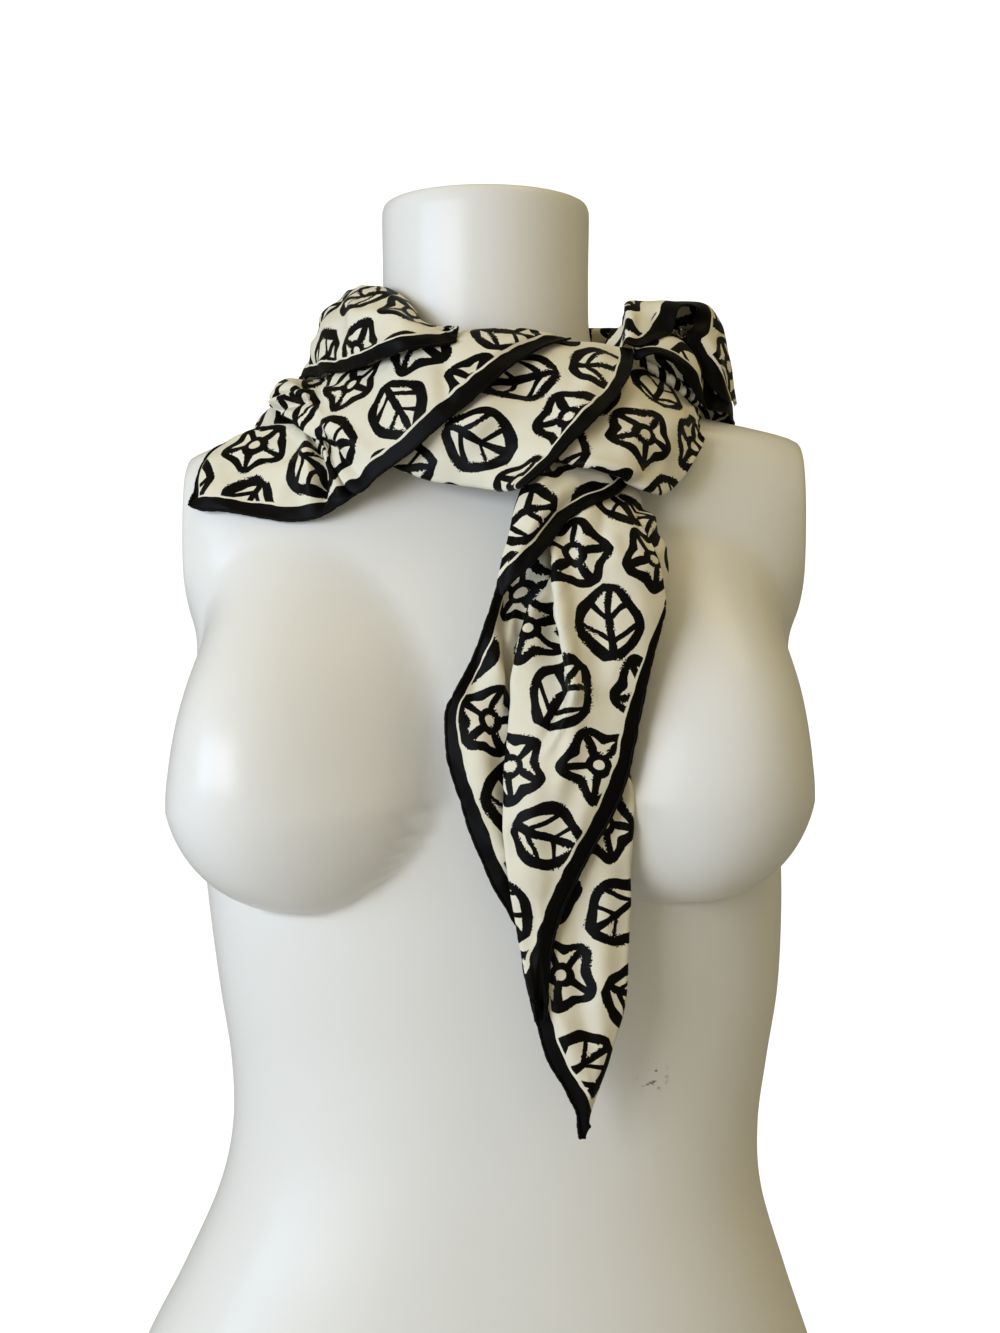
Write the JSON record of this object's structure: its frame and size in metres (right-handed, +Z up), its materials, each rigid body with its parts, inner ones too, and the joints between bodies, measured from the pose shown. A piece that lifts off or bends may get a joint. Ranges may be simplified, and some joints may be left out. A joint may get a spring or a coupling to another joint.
{
  "type": "silk square scarf on a limbless dress form",
  "caption": "Square silk scarf wound in soft folds about the neck of a smooth limbless dress form, knotted at one side, with its end hanging down the front.",
  "frame": {"origin": "middle of the dress form's flat base, on the surface it stands on", "axes": "+Z up, -Y the way the form faces, +X to its left, which is to the right as one looks at its front"},
  "size_m": [0.4134, 0.2759, 0.7476],
  "materials": {
    "silk": "soft satin silk twill, cream with a black print and a black border",
    "form": "satin off-white plastic"
  },
  "bodies": {
    "root": {"dress_form": "form", "wrap_neck": "silk", "band_left": "silk", "end_left": "silk", "fold_left": "silk", "wrap_front": "silk", "wrap_right": "silk", "knot_band": "silk", "knot_loop": "silk", "tail_flap": "silk", "tail_front": "silk", "tail_left": "silk", "tail_roll": "silk", "tail_under": "silk"}
  },
  "joints": []
}
